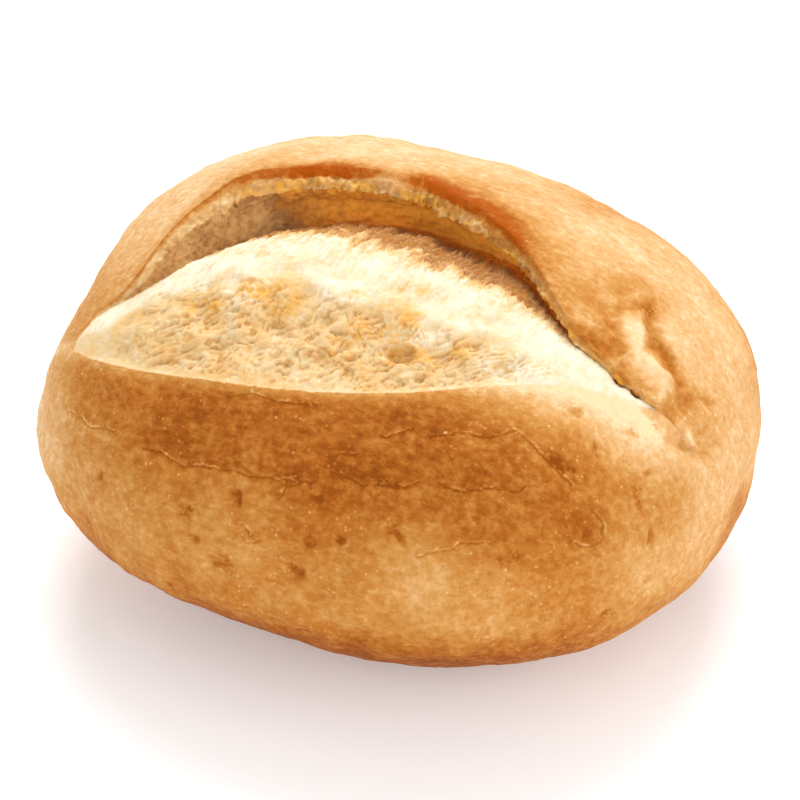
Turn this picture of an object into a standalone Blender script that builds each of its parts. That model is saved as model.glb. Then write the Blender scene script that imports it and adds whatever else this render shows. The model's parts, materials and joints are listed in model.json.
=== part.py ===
"""A mini baguette: a short, plump wheat roll whose one lengthwise slash opened in the oven.

X runs along the roll, Y from its front to its back and Z up. The roll stands on Z = 0, centred
on the origin. It is one solid: the rings of a sphere become the roll's cross-sections, from
one tip to the other. A section runs from the middle of the base up the front crust to the
slash's front lip, over the risen crumb, down into the throat under the ear, out along the
ear's underside to its torn rim and its lip, and down the back crust to the base again.

A place on the loaf is given by its station, from -1 at the left tip to 1 at the right tip,
its angle round the section, in degrees: 0 faces the front, 90 up and 180 the back,
and its depth below the skin of the unslashed loaf.
"""

import math

import bpy
import numpy as np
from mathutils import Vector, noise

# The loaf before its slash opened, in metres.
HALF_LENGTH = 0.0510
HALF_WIDTH = 0.0474
CROWN = 0.0550
CROWN_LEAN = -0.04  # the crown's rise from the middle to the right tip, as a share of it
BELLY = 0.0240  # height at which the loaf is widest
LEFT_FULLNESS = 2.70  # superellipse exponents: 2 is round and more is boxier
RIGHT_FULLNESS = 2.23
DOME_FULLNESS = 2.08
FOOT_FULLNESS = 1.90
FOOT_DROP = 1.04  # the underside would hang this far below the belly, as a share of its height
FOOT_TAPER = 0.8
FOOT_ROUNDING = 0.0008  # height over which a side rounds into the flat base

# The slash, keyed along the roll. Angles are in degrees, lengths in metres.
FRONT_LIP_ANGLE = (
    (-1.0, 25.0),
    (-0.84, 41.5),
    (-0.69, 42.6),
    (-0.34, 46.7),
    (-0.05, 50.7),
    (0.20, 56.1),
    (0.43, 64.2),
    (0.57, 69.0),
    (0.72, 72.6),
    (0.89, 73.8),
    (1.0, 55.0),
)
EAR_LIP_ANGLE = (
    (-1.0, 70.0),
    (-0.84, 43.8),
    (-0.76, 53.0),
    (-0.68, 62.0),
    (-0.62, 74.0),
    (-0.56, 84.0),
    (-0.48, 91.8),
    (-0.40, 97.0),
    (-0.28, 101.6),
    (-0.05, 104.2),
    (0.12, 101.0),
    (0.32, 94.0),
    (0.55, 82.5),
    (0.72, 77.6),
    (0.89, 75.5),
    (1.0, 95.0),
)
# How far the ear's lip sits from the front lip's own station: its left end stands steeply.
EAR_LIP_SHIFT = (
    (-1.0, 0.0),
    (-0.76, -0.006),
    (-0.68, -0.012),
    (-0.56, -0.070),
    (-0.46, -0.094),
    (-0.36, -0.075),
    (-0.20, -0.028),
    (-0.05, -0.005),
    (1.0, 0.0),
)
# The throat lies this far behind the ear's lip; less than 0 leaves the slash open.
OVERHANG_ANGLE = (
    (-1.0, -18.0),
    (-0.84, -1.0),
    (-0.66, -2.2),
    (-0.59, -6.0),
    (-0.50, -7.0),
    (-0.36, -1.0),
    (-0.18, 4.0),
    (0.12, 4.5),
    (0.40, 3.0),
    (0.70, 1.0),
    (0.89, -1.0),
    (1.0, -18.0),
)
THROAT_DEPTH = (
    (-0.84, 0.0),
    (-0.74, 0.0010),
    (-0.64, 0.0034),
    (-0.52, 0.0062),
    (-0.30, 0.0088),
    (0.05, 0.0092),
    (0.30, 0.0070),
    (0.50, 0.0042),
    (0.70, 0.0020),
    (0.82, 0.0008),
    (0.89, 0.0),
)
RIM_LEAN = (
    (-1.0, 9.0),
    (-0.84, 0.6),
    (-0.66, 1.8),
    (-0.48, 5.0),
    (-0.22, 3.0),
    (-0.05, 3.2),
    (0.14, 4.2),
    (0.45, 1.4),
    (0.89, 0.6),
    (1.0, 9.0),
)
RIM_DEPTH = (
    (-0.80, 0.0),
    (-0.60, 0.0010),
    (-0.20, 0.0012),
    (0.20, 0.0012),
    (0.55, 0.0006),
    (0.88, 0.0),
)
EAR_LIFT = (
    (-0.76, 0.0),
    (-0.64, 0.0008),
    (-0.40, 0.0014),
    (0.15, 0.0015),
    (0.50, 0.0011),
    (0.75, 0.0006),
    (0.88, 0.0),
)
EAR_LIFT_REACH = 22.0  # degrees behind the lip over which the lifted crust settles
LIP_STEP = ((-0.82, 0.0), (-0.60, 0.0006), (0.15, 0.0007), (0.40, 0.0003), (0.55, 0.0))
LIP_STEP_REACH = 0.03
# The crumb between the front lip, 0, and the throat, 1.
CRUMB_SAG = ((0.0, 0.0), (0.34, 0.0), (0.50, 0.07), (0.66, 0.25), (0.84, 0.62), (1.0, 1.0))
CRUMB_SWELL = (
    (-0.80, 0.0),
    (-0.60, 0.0005),
    (-0.20, 0.0010),
    (0.20, 0.0009),
    (0.60, 0.0003),
    (0.80, 0.0),
)
CRAG = 0.0011
CRAG_SIZE = 0.0042
CRAG_ROWS = 3  # rows above the front lip over which the crags grow
CRAG_SPREAD = 30.0  # degrees of open slash that full crags take

# Folds and dents of the crust: station and angle of both ends, half-width and height in mm.
FOLDS = (
    (-0.89, 6.0, -0.89, 6.0, 12.0, 0.6),
    (-0.93, 60.0, -0.93, 60.0, 10.0, -0.8),
    (-0.69, -15.0, -0.69, -15.0, 10.0, -0.4),
    (0.33, 126.0, 0.37, 136.0, 5.0, -0.8),
    (0.59, 84.0, 0.63, 83.0, 2.6, -0.9),
    (0.655, 79.0, 0.685, 88.4, 1.0, 0.7),
    (0.69, 88.5, 0.655, 94.0, 1.2, 0.5),
    (0.58, 99.5, 0.65, 100.0, 1.5, -0.6),
    (0.54, 110.0, 0.55, 111.0, 1.2, -0.4),
    (0.73, 94.0, 0.77, 90.5, 1.7, -0.9),
    (0.81, 87.5, 0.85, 83.5, 1.5, -0.8),
    (0.89, 88.5, 0.90, 88.0, 1.1, -0.5),
    (0.865, 68.5, 0.93, 73.0, 1.1, -0.7),
    (0.74, 35.5, 0.74, 35.5, 2.1, -0.7),
    (0.60, 26.0, 0.60, 26.0, 1.2, -0.5),
    (0.86, 46.5, 0.86, 44.0, 1.3, -0.6),
    (0.63, 64.5, 0.63, 64.5, 1.2, -0.4),
    (0.71, 58.5, 0.71, 58.0, 1.1, -0.4),
    (0.90, 29.0, 0.90, 27.0, 1.2, -0.5),
    (-0.27, 18.5, -0.25, 18.5, 1.1, -0.4),
    (-0.17, 9.0, -0.10, 10.0, 1.3, -0.4),
    (0.31, 27.5, 0.31, 26.5, 1.2, -0.35),
    (-0.43, 28.5, -0.01, 33.5, 1.0, -0.25),
    (0.10, 37.0, 0.30, 38.5, 1.1, -0.35),
)
SKIN_LUMP = 0.0006
SKIN_LUMP_SIZE = 0.016

# Sections along the roll, and rows of points round each one.
SECTIONS = 86
BASE_ROWS = 4
FRONT_ROWS = 12
CRUMB_ROWS = 26
RECESS_ROWS = 2
RIM_ROWS = 2
BACK_ROWS = 17
FOOT_ROWS = 4
EDGE_OF_BASE = -60.0
CROWDING = 0.6  # how strongly rows of the crust gather towards the slash
ROWS = BASE_ROWS + FRONT_ROWS + CRUMB_ROWS + 2 * RECESS_ROWS + RIM_ROWS + BACK_ROWS + FOOT_ROWS


def keyed(keys, at):
    """A smooth curve through the keys that never overshoots them."""
    key, value = np.array(keys, float).T
    secant = np.diff(value) / np.diff(key)
    before = np.concatenate([secant[:1], secant])
    after = np.concatenate([secant, secant[-1:]])
    agree = before * after > 0
    slope = np.where(agree, 2 * before * after / np.where(agree, before + after, 1), 0)
    i = np.clip(np.searchsorted(key, at) - 1, 0, len(key) - 2)
    width = key[i + 1] - key[i]
    t = np.clip((at - key[i]) / width, 0, 1)
    level = value[i] + (3 * t**2 - 2 * t**3) * (value[i + 1] - value[i])
    lean = (t**3 - 2 * t**2 + t) * slope[i] + (t**3 - t**2) * slope[i + 1]
    return level + width * lean


def on_loaf(station, angle):
    """Points on the skin of the unslashed loaf."""
    station = np.clip(station, -1, 1)
    fullness = np.where(station < 0, LEFT_FULLNESS, RIGHT_FULLNESS)
    girth = np.clip(1 - np.abs(station) ** fullness, 0, 1) ** (1 / fullness)
    up = np.sin(np.radians(angle))
    forward = np.cos(np.radians(angle))
    power = 2 / np.where(up > 0, DOME_FULLNESS, FOOT_FULLNESS)
    rise = np.abs(up) ** power
    y = -HALF_WIDTH * girth * np.sign(forward) * np.abs(forward) ** power
    above = BELLY + (CROWN * (1 + CROWN_LEAN * station) - BELLY) * girth * rise
    below = BELLY - FOOT_DROP * BELLY * girth**FOOT_TAPER * rise
    z = np.where(up > 0, above, below)
    z = np.where(z > FOOT_ROUNDING, z, np.maximum(z, 0) ** 2 / FOOT_ROUNDING)
    return np.stack([HALF_LENGTH * station + 0 * y, y, z], axis=-1)


def loaf_normal(station, angle):
    along = on_loaf(station + 0.003, angle) - on_loaf(station - 0.003, angle)
    around = on_loaf(station, angle + 0.2) - on_loaf(station, angle - 0.2)
    normal = np.cross(along, around)
    return normal / np.maximum(np.linalg.norm(normal, axis=-1, keepdims=True), 1e-12)


def place(station, angle, depth):
    return np.stack([station, angle + 0 * station, depth + 0 * station], axis=-1)[:, None]


def span(start, end, rows, crowd=0.0):
    """Rows from start up to, not including, end; crowd above 0 packs them near the end."""
    t = (np.arange(rows) / rows)[None, :, None]
    return start + (end - start) * (t + crowd * t * (1 - t))


def crumb_span(lip, throat, station, rows):
    t = (np.arange(rows) / rows)[None]
    step = keyed(LIP_STEP, station)[:, None] * (1 - np.exp(-t / LIP_STEP_REACH)) * (1 - t)
    swell = keyed(CRUMB_SWELL, station)[:, None] * np.sin(math.pi * np.clip(t / 0.8, 0, 1))
    crumb = span(lip, throat, rows)
    crumb[..., 2] = throat[..., 2] * keyed(CRUMB_SAG, t) + step - swell
    return crumb


def sections(station):
    """Station, angle and depth of every row of every section."""
    ear_station = station + keyed(EAR_LIP_SHIFT, station)
    ear_angle = keyed(EAR_LIP_ANGLE, station)
    throat_angle = ear_angle + keyed(OVERHANG_ANGLE, station)
    throat_depth = keyed(THROAT_DEPTH, station)
    rim_angle = ear_angle - keyed(RIM_LEAN, station)
    lift = keyed(EAR_LIFT, station)

    base = place(station, -90, 0)
    base_front = place(station, EDGE_OF_BASE, 0)
    lip = place(station, keyed(FRONT_LIP_ANGLE, station), 0)
    throat = place(0.6 * station + 0.4 * ear_station, throat_angle, throat_depth)
    ceiling_angle = 0.8 * throat_angle + 0.2 * rim_angle
    ceiling = place(0.3 * station + 0.7 * ear_station, ceiling_angle, 0.5 * throat_depth)
    rim = place(0.15 * station + 0.85 * ear_station, rim_angle, keyed(RIM_DEPTH, station))
    ear = place(ear_station, ear_angle, -lift)
    base_back = place(station, 180 - EDGE_OF_BASE, 0)

    back = span(ear, base_back, BACK_ROWS, -CROWDING)
    behind = back[..., 1] - ear[..., 1]
    back[..., 2] = -lift[:, None] * np.exp(-((behind / EAR_LIFT_REACH) ** 2))
    return np.concatenate(
        [
            span(base, base_front, BASE_ROWS),
            span(base_front, lip, FRONT_ROWS, CROWDING),
            crumb_span(lip, throat, station, CRUMB_ROWS),
            span(throat, ceiling, RECESS_ROWS),
            span(ceiling, rim, RECESS_ROWS),
            span(rim, ear, RIM_ROWS),
            back,
            span(base_back, place(station, 270, 0), FOOT_ROWS),
        ],
        axis=1,
    )


def fold_height(points):
    """Height of the folds and dents at each point of the unslashed loaf."""
    height = np.zeros(points.shape[:-1])
    for from_station, from_angle, to_station, to_angle, half_width, rise in FOLDS:
        start = on_loaf(np.array(from_station), from_angle)
        way = on_loaf(np.array(to_station), to_angle) - start
        t = np.clip((points - start) @ way / max(way @ way, 1e-12), 0, 1)
        gap = np.linalg.norm(points - start - t[..., None] * way, axis=-1) * 1000
        height += rise / 1000 * np.exp(-((gap / half_width) ** 2))
    return height


def noise_at(points, size, seed):
    flat = points.reshape(-1, 3) / size + seed
    return np.array([noise.noise(Vector(p)) for p in flat]).reshape(points.shape[:-1])


def roll_points():
    station = np.sin(np.linspace(-math.pi / 2, math.pi / 2, SECTIONS + 1))
    rows = sections(station)
    skin = on_loaf(rows[..., 0], rows[..., 1])
    height = fold_height(skin) + SKIN_LUMP * noise_at(skin, SKIN_LUMP_SIZE, 7.0)

    first = BASE_ROWS + FRONT_ROWS
    past_lip = np.clip((np.arange(ROWS) - first) / CRAG_ROWS, 0, 1)
    past_lip[first + CRUMB_ROWS + RECESS_ROWS :] = 0
    wide_share = np.clip((rows[:, first + CRUMB_ROWS, 1] - rows[:, first, 1]) / CRAG_SPREAD, 0, 1)
    open_share = np.clip(keyed(THROAT_DEPTH, station) / 0.003, 0, 1)
    crag = noise_at(skin, CRAG_SIZE, 3.0) + 0.5 * noise_at(skin, CRAG_SIZE / 2, 5.0)
    height += CRAG * crag * past_lip[None] * (wide_share * open_share)[:, None]

    height *= np.clip((skin[..., 2] - 0.001) / 0.006, 0, 1)
    return skin + (height - rows[..., 2])[..., None] * loaf_normal(rows[..., 0], rows[..., 1])


def make_roll():
    bpy.ops.mesh.primitive_uv_sphere_add(segments=ROWS, ring_count=SECTIONS, radius=1)
    roll = bpy.context.object
    roll.name = roll.data.name = "roll"
    points = roll_points()
    for vertex in roll.data.vertices:
        polar = math.acos(max(-1, min(1, vertex.co.z)))
        section = round(polar / math.pi * SECTIONS)
        row = round(math.atan2(vertex.co.y, vertex.co.x) / math.tau * ROWS) % ROWS
        vertex.co = Vector(points[section, row])
    for face in roll.data.polygons:
        face.use_smooth = True
    roll.data.update()
    return roll


def bread_material():
    material = bpy.data.materials.new("crust")
    material.use_nodes = True
    surface = material.node_tree.nodes["Principled BSDF"]
    surface.inputs["Base Color"].default_value = (0.56, 0.29, 0.09, 1)
    surface.inputs["Roughness"].default_value = 0.6
    return material


def main():
    for old in list(bpy.data.objects):
        bpy.data.objects.remove(old)
    collection = bpy.data.collections.new("mini_baguette")
    bpy.context.scene.collection.children.link(collection)
    roll = make_roll()
    roll.data.materials.append(bread_material())
    for other in list(roll.users_collection):
        other.objects.unlink(roll)
    collection.objects.link(roll)


main()
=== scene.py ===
"""The looks of a mini baguette: a short, plump wheat roll whose one slash tore open in the oven.

X runs along the roll, Y from its front to its back and Z up. The roll stands on Z = 0.
A place on it is given by its station, from -1 at the left tip to 1 at the right tip, its angle
round the section, in degrees: 0 faces the front, 90 up and 180 the back, and its depth
below the skin of the unslashed loaf. Lengths are metres, or millimetres where a name says so.
"""

import json
import math

import bpy
import numpy as np
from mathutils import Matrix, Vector, noise
from mathutils.geometry import delaunay_2d_cdt

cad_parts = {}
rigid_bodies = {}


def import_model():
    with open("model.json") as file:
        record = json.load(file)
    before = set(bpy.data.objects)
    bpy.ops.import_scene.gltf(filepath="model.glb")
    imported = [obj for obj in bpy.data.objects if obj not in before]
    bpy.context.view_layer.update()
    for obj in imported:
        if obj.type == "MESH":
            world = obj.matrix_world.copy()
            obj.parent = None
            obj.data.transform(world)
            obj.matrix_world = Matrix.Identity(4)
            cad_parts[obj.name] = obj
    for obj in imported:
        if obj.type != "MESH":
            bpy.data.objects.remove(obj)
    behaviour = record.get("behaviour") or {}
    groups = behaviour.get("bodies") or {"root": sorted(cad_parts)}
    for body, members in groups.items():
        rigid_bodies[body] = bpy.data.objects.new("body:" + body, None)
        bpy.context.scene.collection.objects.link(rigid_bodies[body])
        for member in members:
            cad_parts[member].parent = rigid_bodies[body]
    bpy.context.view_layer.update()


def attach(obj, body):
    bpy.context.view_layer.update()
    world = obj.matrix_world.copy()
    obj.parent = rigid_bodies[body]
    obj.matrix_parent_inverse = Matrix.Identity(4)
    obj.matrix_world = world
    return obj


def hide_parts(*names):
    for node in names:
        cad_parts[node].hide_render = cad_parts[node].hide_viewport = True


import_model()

MM = 0.001

# The loaf before its slash opened.
HALF_LENGTH = 0.0510
HALF_WIDTH = 0.0474
CROWN = 0.0550
CROWN_LEAN = -0.04
BELLY = 0.0240
LEFT_FULLNESS = 2.70
RIGHT_FULLNESS = 2.23
DOME_FULLNESS = 2.08
FOOT_FULLNESS = 1.90
FOOT_DROP = 1.04
FOOT_TAPER = 0.8
FOOT_ROUNDING = 0.0008

# The slash, keyed along the roll.
FRONT_LIP_ANGLE = (
    (-1.0, 25.0), (-0.84, 41.5), (-0.69, 42.6), (-0.34, 46.7), (-0.05, 50.7), (0.20, 56.1),
    (0.43, 64.2), (0.57, 69.0), (0.72, 72.6), (0.89, 73.8), (1.0, 55.0),
)
EAR_LIP_ANGLE = (
    (-1.0, 70.0), (-0.84, 43.6), (-0.80, 46.5), (-0.76, 53.5), (-0.68, 62.0), (-0.62, 74.0), (-0.56, 84.0),
    (-0.48, 91.8), (-0.40, 97.0), (-0.28, 101.6), (-0.05, 104.2), (0.12, 101.0), (0.32, 94.0),
    (0.55, 82.5), (0.72, 77.6), (0.89, 75.5), (1.0, 95.0),
)
EAR_LIP_SHIFT = (
    (-1.0, 0.0), (-0.76, -0.006), (-0.68, -0.012), (-0.56, -0.070), (-0.46, -0.094),
    (-0.36, -0.075), (-0.20, -0.028), (-0.05, -0.005), (1.0, 0.0),
)
OVERHANG_ANGLE = (
    (-1.0, -18.0), (-0.84, -1.0), (-0.66, -1.2), (-0.59, -2.6), (-0.50, -3.0), (-0.36, 0.8),
    (-0.18, 4.0), (0.12, 4.5), (0.40, 3.0), (0.70, 1.0), (0.89, -1.0), (1.0, -18.0),
)
THROAT_DEPTH = (
    (-0.84, 0.0), (-0.74, 0.0002), (-0.69, 0.0007), (-0.62, 0.0036), (-0.52, 0.0062), (-0.30, 0.0088),
    (0.05, 0.0082), (0.30, 0.0048), (0.48, 0.0026), (0.60, 0.0010), (0.655, 0.0004), (0.69, 0.0018),
    (0.718, 0.0006), (0.74, 0.0015), (0.765, 0.0002), (0.89, 0.0),
)
RIM_LEAN = (
    (-1.0, 9.0), (-0.84, 0.6), (-0.66, 1.4), (-0.48, 2.9), (-0.22, 2.7), (-0.05, 2.9),
    (0.10, 2.6), (0.24, 1.3), (0.40, 0.6), (0.89, 0.5), (1.0, 9.0),
)
RIM_DEPTH = (
    (-0.80, 0.0), (-0.60, 0.0010), (-0.20, 0.0012), (0.20, 0.0012), (0.55, 0.0006), (0.88, 0.0),
)
EAR_LIFT = (
    (-0.72, 0.0), (-0.62, 0.0008), (-0.40, 0.0014), (0.15, 0.0015), (0.50, 0.0011),
    (0.75, 0.0006), (0.88, 0.0),
)
EAR_LIFT_REACH = 22.0
LIP_STEP = ((-0.82, 0.0), (-0.60, 0.0006), (0.15, 0.0007), (0.40, 0.0003), (0.55, 0.0))
LIP_STEP_REACH = 0.03
CRUMB_SAG = ((0.0, 0.0), (0.34, 0.0), (0.50, 0.07), (0.66, 0.25), (0.84, 0.62), (1.0, 1.0))
CRUMB_SWELL = (
    (-0.80, 0.0), (-0.60, 0.0005), (-0.20, 0.0010), (0.20, 0.0009), (0.60, 0.0003), (0.80, 0.0),
)
CREST_ANGLE = (
    (-0.84, 43.0), (-0.74, 54.0), (-0.67, 60.0), (-0.59, 64.0), (-0.47, 67.0), (-0.30, 70.0),
    (-0.10, 72.0), (0.60, 72.0),
)
FACET_HOLLOW = ((-0.80, 0.0), (-0.55, 0.0005), (-0.20, 0.0010), (0.20, 0.0009), (0.50, 0.0))

# Folds and dents of the crust: station and angle of both ends, half-width and height in mm.
FOLDS = (
    (-0.89, 6.0, -0.89, 6.0, 12.0, 0.6),
    (-0.93, 60.0, -0.93, 60.0, 10.0, -0.8),
    (-0.69, -15.0, -0.69, -15.0, 10.0, -0.4),
    (0.33, 126.0, 0.37, 136.0, 5.0, -0.8),
    (0.74, 35.5, 0.74, 35.5, 2.4, -0.35),
    (0.86, 46.5, 0.86, 44.0, 1.6, -0.35),
    (0.65, 51.0, 0.66, 50.0, 2.2, -0.4),
    (-0.43, 28.5, -0.01, 33.5, 1.0, -0.25),
    (0.10, 37.0, 0.30, 38.5, 1.1, -0.35),
)
SKIN_LUMP = 0.0006
SKIN_LUMP_SIZE = 0.016
CRAG = 0.0009
CRAG_SIZE = 0.0042
CRAG_SPREAD = 30.0
CRAG_FADE_ROWS = 14
CRAGGY_DEPTH = 0.003
ROOMY_DEPTH = 0.004
# Up to this height the foot stays bare; above it the form and the relief fade in.
BARE_FOOT = 0.001
FORM_FADE = 0.006
RELIEF_FADE = 0.004

# Sections along the roll and rows of points round each, before the mesh is thinned.
SECTIONS = 540
BASE_ROWS = 5
FRONT_ROWS = 96
CRUMB_ROWS = 130
RECESS_ROWS = 14
RIM_ROWS = 12
BACK_ROWS = 78
FOOT_ROWS = 5
EDGE_OF_BASE = -60.0
CROWDING = 0.6
EVENNESS = 0.55
FRONT_LIP_ROW = BASE_ROWS + FRONT_ROWS
THROAT_ROW = FRONT_LIP_ROW + CRUMB_ROWS
RIM_ROW = THROAT_ROW + 2 * RECESS_ROWS
EAR_LIP_ROW = RIM_ROW + RIM_ROWS
ROWS = EAR_LIP_ROW + BACK_ROWS + FOOT_ROWS
TORN = slice(FRONT_LIP_ROW, THROAT_ROW)
RECESS = slice(THROAT_ROW, EAR_LIP_ROW)
RIM = slice(RIM_ROW, EAR_LIP_ROW)
CRUMB_SHARE = (np.arange(CRUMB_ROWS) / CRUMB_ROWS)[None]
MOST_TRIANGLES = 196000
# Points closer than this become one.
SAME_PLACE = 0.00001

# Pits and bubbles of the torn crumb: station, angle, radius in mm, how many times longer, lean.
CRUMB_HOLES = (
    (0.151, 64.4, 1.70, 1.7, 8.0), (0.226, 60.6, 0.85, 1.2, 0.0), (-0.085, 58.7, 0.75, 1.2, 60.0),
    (-0.127, 55.4, 0.65, 1.6, 50.0), (0.044, 61.2, 0.7, 1.3, 30.0), (-0.026, 64.6, 0.5, 3.4, 14.0),
    (0.18, 58.8, 0.6, 1.8, -20.0), (-0.33, 63.0, 0.7, 1.4, 30.0), (-0.50, 57.5, 0.55, 1.8, 30.0),
)
SMALL_HOLES = 34
HOLE_SEED = 11

# Golden spots of the torn face: station, angle, radius in mm and how much darker.
TOASTED_SPOTS = (
    (-0.296, 69.0, 2.2, 0.30), (-0.22, 66.0, 2.4, 0.14), (0.115, 69.5, 3.0, 0.20),
    (0.24, 67.5, 2.8, 0.18), (0.069, 77.9, 0.9, 0.34), (0.12, 77.9, 0.8, 0.28),
    (-0.03, 72.5, 1.2, 0.22), (0.263, 78.0, 1.3, 0.22), (-0.152, 79.0, 1.0, 0.20),
    (-0.05, 88.0, 0.8, 0.26), (0.02, 64.0, 2.6, 0.15), (-0.42, 62.0, 2.4, 0.18),
    (0.11, 79.5, 1.1, 0.18), (0.0, 78.0, 1.0, 0.12),
)

# Brown pocks of the crust: station, angle, half-length and half-width in mm, and lean.
POCKS = (
    (-0.27, 18.0, 1.9, 0.9, 5.0), (-0.16, 8.5, 2.1, 1.4, 20.0), (-0.12, 7.5, 1.6, 0.9, -20.0),
    (0.07, 12.0, 1.5, 1.1, 10.0), (-0.13, 25.0, 0.9, 1.5, 10.0), (0.1, 20.0, 1.0, 0.8, 0.0),
    (0.18, 22.0, 1.2, 0.6, -20.0), (0.31, 27.0, 2.0, 0.9, -30.0), (0.09, 30.0, 1.1, 0.6, 0.0),
    (-0.57, 17.0, 0.6, 1.1, 0.0), (0.2, 16.0, 1.1, 0.5, 0.0), (0.09, -10.0, 1.2, 0.6, 0.0),
    (-0.31, -7.0, 1.1, 0.5, -30.0), (-0.23, 12.0, 1.0, 0.6, 0.0), (0.6, 25.0, 1.6, 1.5, 0.0),
    (0.63, 65.0, 1.6, 1.0, 10.0), (0.77, 66.5, 1.1, 0.9, 0.0), (0.71, 58.0, 0.8, 1.1, 20.0),
    (0.65, 51.0, 2.4, 0.8, -10.0), (0.84, 47.0, 1.1, 1.8, 0.0), (0.89, 29.0, 0.6, 1.4, 0.0),
    (0.84, 55.0, 1.0, 1.0, 0.0), (0.83, -3.0, 1.2, 0.8, 0.0), (0.9, 6.0, 1.0, 1.2, 0.0),
    (-0.34, 17.0, 1.0, 0.5, 30.0),
)
POCK_DEPTH = 0.36

# Where the oven browned the crust more or less: station, angle, radius in mm and how much.
BROWNED_AREAS = (
    (0.735, 35.0, 2.6, 0.15), (0.44, 11.0, 7.0, -0.13), (0.75, 13.0, 9.0, 0.12),
    (0.74, -10.0, 7.0, 0.10), (0.87, 30.0, 5.0, -0.10), (0.89, 46.0, 5.0, -0.06),
    (-0.48, 1.0, 7.0, -0.12), (-0.25, -8.0, 6.0, 0.10), (0.09, 4.0, 7.0, 0.08),
    (0.32, 24.0, 7.0, -0.06), (0.97, 64.0, 8.0, -0.08), (-0.69, 12.0, 7.0, -0.06),
    (-0.78, 21.0, 6.0, -0.05), (0.31, -6.0, 5.0, 0.14),
)

# Shallow folds of the crumb's top: station and angle along each, half-width and height in mm.
CRUMB_FOLDS = (
    (((-0.34, 77.0), (-0.16, 78.0), (0.0, 76.5), (0.19, 77.5), (0.32, 77.0)), 1.7, -0.55),
    (((-0.20, 83.0), (-0.05, 84.5), (0.10, 83.5)), 2.2, 0.45),
    (((0.28, 82.5), (0.40, 80.5)), 1.8, 0.35),
)

# Height in mm of each kind of relief, on the crumb's torn face and on its top, and how much each makes a
# place hollow, which the material darkens as painted shade; then the same for the ear's torn rim, and the
# crust's heights.
FACE_HEIGHTS = {"plates": 0.38, "flakes": 0.26, "scales": 0.07, "clumps": 0.08}
TOP_HEIGHTS = {"strands": 0.17, "threads": 0.07, "swells": 0.38, "clumps": 0.26, "fuzz": 0.02}
FACE_DEPTHS = {"plates": 0.36, "flakes": 0.36, "scales": 0.22, "clumps": 0.16}
TOP_DEPTHS = {"strands": 0.12, "threads": 0.06, "clumps": 0.24}
RIM_HEIGHTS = {"grains": 0.44, "lumps": 0.46, "crumbs": 0.16, "threads": 0.20}
RIM_DEPTHS = {"grains": 0.5, "lumps": 0.5, "threads": 0.25}
CRUST_HEIGHTS = {"lumps": 0.30, "dimples": 0.15, "wrinkles": 0.07}

# Cracks where the crust's skin peeled: station and angle along each.
CRACKS = (
    ((-0.44, 28.4), (-0.38, 29.2), (-0.32, 27.7), (-0.245, 29.6), (-0.17, 30.6), (-0.125, 30.6)),
    ((-0.125, 30.6), (-0.06, 31.5), (-0.03, 31.9), (0.03, 34.1)),
    ((-0.014, 27.7), (-0.005, 30.6), (0.04, 33.1), (0.06, 33.1)),
    ((0.10, 36.8), (0.134, 36.8), (0.19, 35.9), (0.235, 36.7), (0.29, 37.5)),
    ((0.088, 39.6), (0.125, 41.1), (0.15, 41.6)),
    ((-0.73, 27.1), (-0.67, 28.0), (-0.63, 27.1), (-0.586, 28.5), (-0.55, 29.1)),
    ((-0.245, 45.4), (-0.19, 47.6), (-0.09, 47.8), (0.0, 49.0)),
    ((-0.10, 19.8), (-0.07, 18.2), (-0.07, 15.4), (-0.04, 17.2)),
    ((0.20, 46.3), (0.235, 47.7), (0.26, 49.7)),
    ((0.235, 37.8), (0.27, 38.2), (0.30, 37.5), (0.33, 39.8)),
    ((0.32, 49.7), (0.38, 51.8), (0.46, 52.8), (0.51, 55.5), (0.55, 54.4), (0.60, 52.0), (0.69, 46.9)),
    ((0.39, 40.0), (0.44, 39.4), (0.50, 41.6), (0.57, 42.3), (0.586, 44.0)),
    ((0.38, 22.2), (0.43, 24.8), (0.457, 25.1), (0.48, 27.5), (0.55, 28.6)),
    ((0.734, 29.9), (0.76, 28.5), (0.79, 30.2), (0.79, 35.2), (0.78, 37.9), (0.76, 40.0)),
)
CRACK_REACH = 0.6
CRACK_FAR = 3.0
CRACK_STEP = 0.12
EAR_EDGE_FADE = 0.8
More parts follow.
